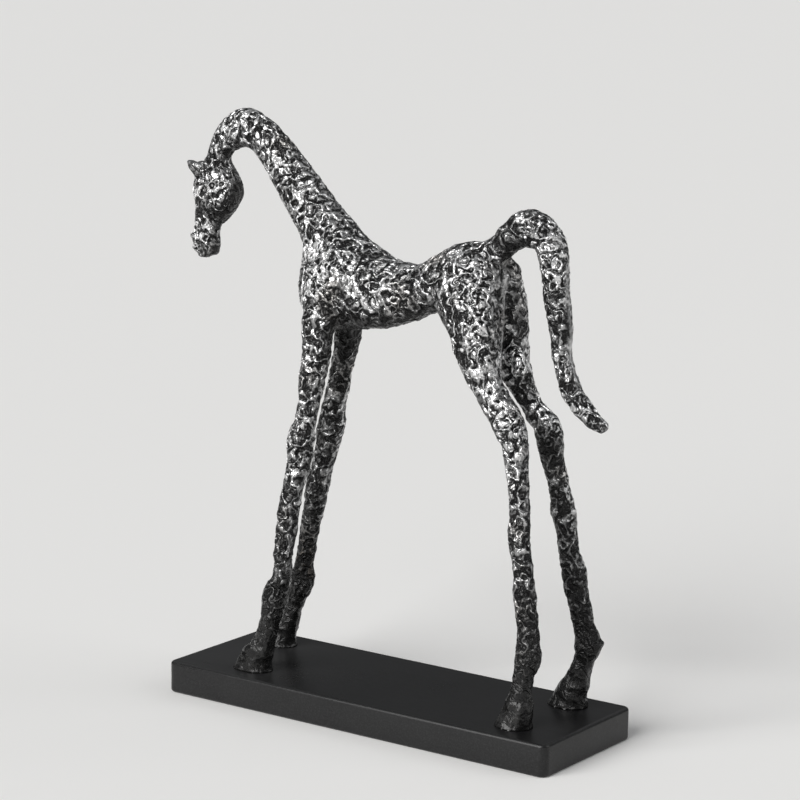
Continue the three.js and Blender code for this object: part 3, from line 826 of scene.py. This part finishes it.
def horse():
    F, limbs = build_field()
    P, quads = mend(F)
    for _ in range(2):
        g = gradient(F, P)
        f = sample(F, P)
        step = np.clip(f / np.maximum((g**2).sum(1), 0.2), -0.8, 0.8)
        P = P - g * step[:, None]
    sole = P[:, 2] < 0.6
    P[:, 2] = np.maximum(P[:, 2], 0)
    n = gradient(F, P, 1.4)
    n /= np.maximum(np.linalg.norm(n, axis=1), 1e-6)[:, None]
    h, worked = relief(P, smoothstep(P[:, 2], 14, 34)), 0.18 + 0.82 * smoothstep(P[:, 2], 8, 74)
    h = np.where(P[:, 2] < 1.2, np.minimum(h, 0.0) * 0.2, h)
    worked = np.where(P[:, 2] < 1.2, 0, worked)
    ears = smoothstep(-P[:, 0] + 0.5 * (P[:, 2] - 322), 158.5, 163) * smoothstep(P[:, 2], 317, 322)
    h = h * (1 - 0.85 * ears) * (1 - 0.35 * smoothstep(-P[:, 0], 138, 144) * smoothstep(-P[:, 2], -336, -330))
    worked = worked * (1 - 0.8 * ears)
    P0 = np.stack([P[:, 0], np.abs(P[:, 1]), P[:, 2]], 1)

    def pair(at, size):
        return np.exp(-(((P0 - np.array(at)) / np.array(size)) ** 2).sum(1))
    back_of_head = np.clip(pair((-129, 5, 314), (7, 10, 13)) + pair((-147, 3, 270.5), (11, 10, 5.5)), 0, 1)
    worked = worked * (1 - 0.6 * back_of_head)
    h = h * (1 - 0.5 * back_of_head)
    seam = np.exp(-(P[:, 1] / 2.2) ** 2) * smoothstep(P[:, 0], 72, 76) * smoothstep(P[:, 2], 212, 218) * smoothstep(-P[:, 2], -292, -286)
    worked = worked * (1 - 0.85 * seam)
    h = h * (1 - 0.6 * seam)
    # the silver is rubbed up on the high outer faces and left dark as patina below the knees; painted highlights and
    # painted shade by facing and by place are laid over it, with painted shade underneath and between the legs
    def near(at, size):
        return np.exp(-(((P - np.array(at)) / np.array(size)) ** 2).sum(1))
    high = 0.30 + 0.70 * smoothstep(P[:, 2], 20, 170)
    # upward faces lighter and faces turned to the rear darker: partly rub wear, partly painted light
    face = 0.915 + 0.14 * n[:, 2] - 0.10 * smoothstep(n[:, 0], 0.35, 0.95)
    face = face - 0.42 * smoothstep(-n[:, 2], 0.05, 0.75) * smoothstep(P[:, 2], 205, 225)          # painted shade under the belly, throat and jaw
    face = face - 0.36 * smoothstep(-n[:, 1] * np.sign(P[:, 1]), 0.15, 0.8) * smoothstep(-P[:, 2], -240, -225)     # painted shade on the inner faces of the legs
    face = face - 0.30 * smoothstep(-n[:, 0], 0.15, 0.9) * smoothstep(P[:, 0], 96, 104) * smoothstep(P[:, 2], 196, 206)   # painted shade on the front of the tail
    # painted highlights (positive gains) and painted shade (negative gains) in spots over the body, head and tail
    for s in (-1, 1):
        for at, size, gain in (((-57, s * 12, 267), (17, 14, 20), 1.25), ((-31, s * 19, 261), (7, 8, 8), -0.25),       # point of the shoulder
                               ((-14, s * 20, 260), (14, 10, 10), 0.36), ((-31, s * 19, 256), (8, 8, 9), -0.24),       # ribs
                               ((72, s * 22, 278), (13, 12, 18), 1.25), ((77, s * 22, 248), (11, 12, 18), 0.68),        # haunch
                               ((84, s * 18, 221), (11, 10, 15), 0.26), ((106, s * 22, 189), (9, 9, 8), 1.7), ((80, s * 22, 201), (6, 9, 9), -0.26),
                               ((98, s * 22, 203), (7, 9, 9), 0.32), ((107, s * 22, 169), (9, 9, 8), -0.16),       # hock
                               ((-149, s * 11, 313), (10, 8, 10), 0.90), ((-160, s * 5, 285), (6, 5, 9), 0.75),       # cheek and nose
                               ((-147, s * 9, 325.6), (9, 4, 1.5), -0.15), ((-145, s * 8, 330.5), (9, 6, 2.6), -0.30),
                               ((-128, s * 6, 312), (6, 9, 12), -0.34), ((-138, s * 7, 299), (8, 8, 5), -0.40),
                               ((-152, s * 8, 298.5), (6, 6, 4), -0.30), ((-149, s * 6, 272), (10, 7, 5), -0.20),
                               ((88, s * 4, 222), (8, 9, 10), 1.5), ((50, s * 22, 280), (14, 10, 11), 0.05), ((72.4, s * 6, 293), (5, 4, 6), 0.25),
                               ((-122, s * 8, 362), (11, 8, 10), 0.52), ((-92, s * 10, 334), (14, 9, 11), 0.38), ((-61, s * 8, 316), (9, 9, 8), 0.22), ((-72, s * 13, 305), (11, 9, 11), 0.20), ((64, s * 22, 280), (10, 12, 12), 0.28),
                               ((124, s * 6, 292), (8, 9, 24), 0.30), ((116, 0, 262), (12, 20, 30), -0.24), ((144, 0, 200), (16, 16, 12), 0.42), ((122, 0, 238), (12, 20, 16), -0.14), ((108, s * 8, 304), (10, 9, 8), 0.18), ((108, s * 12, 168), (14, 14, 18), -0.14),
                               ((-38, s * 8, 232), (14, 12, 20), -0.42),       # painted shade behind the elbow
                               ((-28, s * 17, 241), (12, 9, 9), -0.18), ((-5, s * 14, 238), (20, 10, 7), -0.18),
                               ((-48, s * 20, 270), (10, 10, 13), 1.0), ((-29, s * 21, 267), (9, 8, 8), -0.22), ((-22, s * 13, 281), (9, 8, 8), 0.22), ((0, s * 15, 271), (10, 9, 8), 0.16),
                               ((-46, 0, 284), (10, 20, 12), -0.10), ((34, s * 8, 250), (14, 14, 14), -0.14),
                               ((86, s * 6, 300), (14, 10, 12), -0.40),        # painted shade under the root of the tail
                               ((100, s * 5, 292), (6, 8, 14), -0.16), ((113, s * 8, 290), (8, 6, 16), 0.25),
                               ((84, s * 5, 250), (8, 12, 30), -0.14)):
            face = face + gain * near(at, size) * (1.0 if at[1] else 0.5)
    # painted shade on faces turned to the rear, high on the horse and ahead of the tail
    face = face - 0.20 * smoothstep(n[:, 0], 0.6, 0.92) * smoothstep(P[:, 2], 205, 225) * smoothstep(-P[:, 0], -95, -88)
    polish = high * np.clip(face, 0.3, 2.0)
    polish = polish * (1 - seam) + 0.95 * seam
    polish = polish * (1 - 0.4 * ears)
    for s in (-1, 1):                              # the hollow of each ear is left dark, and its upper rim gets a painted highlight
        for at, r in (((-159.5, s * 8.6, 322.6), 2.6), ((-164.0, s * 7.8, 325.6), 2.4), ((-167.6, s * 6.8, 328.0), 1.5)):
            polish = polish * (1 - 0.9 * near(at, (r, r, r)))
        for at, r in (((-168.5, s * 6.0, 330.2), (2.4, 3, 1.5)), ((-163.6, s * 7.4, 329.0), (2.8, 3, 1.3))):
            polish = polish + 0.7 * near(at, r)
    rear = smoothstep(n[:, 0], 0.55, 0.9) * smoothstep(P[:, 2], 200, 225)
    worked = worked * (1 - 0.2 * rear)
    warm = np.maximum(smoothstep(perlin(P, 24.0, 31), 0.15, 0.75) * 0.25, near((-90, 20, 60), (14, 12, 22)) * 0.9)
    Q = P + n * h[:, None]
    Q[:, 2] = np.where(sole, 0.0, np.maximum(Q[:, 2], 0.02))
    up = np.array([0, 0, PLINTH_H])
    ob = fast_mesh("horse_cast", (Q + up) * MM, quads, silver_material())
    add_attribute(ob.data, "worked", worked)
    add_attribute(ob.data, "polish", polish)
    add_attribute(ob.data, "warm", warm)
    add_vectors(ob.data, "rest", (P + up) * MM)
    add_vectors(ob.data, "out", n)
    emboss(ob, 0.8)
    flat = unfold(P, n, quads, limbs)
    if len(ob.data.loops) == 4 * len(flat):
        ob.data.uv_layers.new(name="OFBake").data.foreach_set("uv", flat.astype(np.float32).ravel())
    print("horse:", len(P), "vertices", len(quads), "quads")
    return ob


def plinth():
    """The slab with rounded edges and corners."""
    lx, ly, lz = PLINTH_L / 2, PLINTH_W / 2, PLINTH_H
    corner, edge, seg = 5.6, 2.2, 8
    outline = []
    for k, (sx, sy) in enumerate(((1, -1), (1, 1), (-1, 1), (-1, -1))):
        for j in range(seg + 1):
            th = math.radians(-90 + 90 * k + 90 * j / seg)
            outline.append((sx * (lx - corner), sy * (ly - corner), math.cos(th), math.sin(th)))
    out = []
    edge_amount = []
    prof = []
    for j in range(seg + 1):
        th = math.radians(90 * j / seg)
        prof.append((edge * (1 - math.sin(th)), edge * (1 - math.cos(th)), 1.0))     # inset, height from the bottom
    levels = prof + [(i, lz - z, e) for i, z, e in reversed(prof)]
    for inset, z, e in levels:
        for cx, cy, nx, ny in outline:
            r = corner - inset
            out.append((cx + nx * r, cy + ny * r, z))
    n = len(outline)
    faces = []
    for i in range(len(levels) - 1):
        for j in range(n):
            faces.append((i * n + j, i * n + (j + 1) % n, (i + 1) * n + (j + 1) % n, (i + 1) * n + j))
    faces.append(tuple(reversed(range(n))))
    faces.append(tuple(range((len(levels) - 1) * n, len(levels) * n)))
    V = np.array(out) * MM
    ob = make_object("plinth", [tuple(v) for v in V], faces, lacquer_material())
    ed = []
    for inset, z, e in levels:
        mid = 1 - abs((inset / edge) - 0.3)
        ed += [max(0.0, min(1.0, mid))] * n
    add_attribute(ob.data, "edge", np.array(ed))
    ob.data.polygons[len(faces) - 1].use_smooth = False
    ob.data.polygons[len(faces) - 2].use_smooth = False
    return ob


piece = horse()
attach(piece, "root")
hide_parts("horse")

slab = plinth()
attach(slab, "root")
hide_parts("base")

# ---- stage, light and camera ---------------------------------------------------------------
def floor():
    me = bpy.data.meshes.new("floor")
    r = 12.0
    me.from_pydata([(-r, -r, 0), (r, -r, 0), (r, r, 0), (-r, r, 0)], [], [(0, 1, 2, 3)])
    ob = bpy.data.objects.new("floor", me)
    bpy.context.scene.collection.objects.link(ob)
    m, nt = new_material("pale_floor")
    N = Nodes(nt)
    bsdf = N.add("ShaderNodeBsdfPrincipled", Base_Color=(0.86, 0.855, 0.845, 1), Roughness=0.85)
    out = N.add("ShaderNodeOutputMaterial")
    nt.links.new(bsdf.outputs[0], out.inputs[0])
    me.materials.append(m)
    return ob


floor()

scene = bpy.context.scene
back = VIEW
right = np.cross(-back, [0, 0, 1])
right /= np.linalg.norm(right)
up = np.cross(right, -back)
c, s = math.cos(ROLL), math.sin(ROLL)
right, up = c * right + s * up, -s * right + c * up
cam = bpy.data.cameras.new("camera")
cam.sensor_width = 36.0
cam.lens = 126.0
cam.clip_start = 0.1
cam.clip_end = 60
camera = bpy.data.objects.new("camera", cam)
place = np.array([3.406, -4.794, 1.777]) * PLINTH_L * MM + np.array([0, 0, PLINTH_H * MM])
M = Matrix.Identity(4)
for k in range(3):
    M[k][0], M[k][1], M[k][2], M[k][3] = right[k], up[k], back[k], place[k]
camera.matrix_world = M
scene.collection.objects.link(camera)
scene.camera = camera


def around(az, el, dist, aim=(0, 0, 0.2)):
    """A place at a bearing from the camera's own: 0 is from the camera, negative is to its left."""
    a = AZ + math.radians(az)
    e = math.radians(el)
    return (aim[0] + dist * math.sin(a) * math.cos(e), aim[1] - dist * math.cos(a) * math.cos(e), aim[2] + dist * math.sin(e))


def sun(name, az, el, strength, size, colour=(1, 1, 1)):
    l = bpy.data.lights.new(name, "SUN")
    l.energy = strength
    l.angle = math.radians(size)
    l.color = colour
    o = bpy.data.objects.new(name, l)
    d = np.array(around(az, el, 1.0, (0, 0, 0)))
    x = np.cross([0, 0, 1], d)
    x /= np.linalg.norm(x)
    y = np.cross(d, x)
    m = Matrix.Identity(4)
    for k in range(3):
        m[k][0], m[k][1], m[k][2], m[k][3] = x[k], y[k], d[k], 2 * d[k]
    o.matrix_world = m
    scene.collection.objects.link(o)


sun("key", -46, 28, 3.72, 50, (1.0, 0.995, 0.985))
sun("side", 78, 30, 0.62, 40)
sun("rim", 150, 40, 0.1, 50)

# a dome that is bright overhead and dark along the horizon, so that bare metal shows its form
world = bpy.data.worlds.new("world")
world.use_nodes = True
wt = world.node_tree
W = Nodes(wt)
gen = wt.nodes.new("ShaderNodeTexCoord").outputs["Generated"]
sep = wt.nodes.new("ShaderNodeSeparateXYZ")
wt.links.new(gen, sep.inputs[0])
glow = W.range(sep.outputs[2], 0.10, 0.70, 0.05, 0.27)
wt.links.new(glow, wt.nodes["Background"].inputs[1])
wt.nodes["Background"].inputs[0].default_value = (0.93, 0.945, 0.96, 1)
scene.world = world
scene.view_settings.view_transform = "Standard"
scene.view_settings.look = "None"
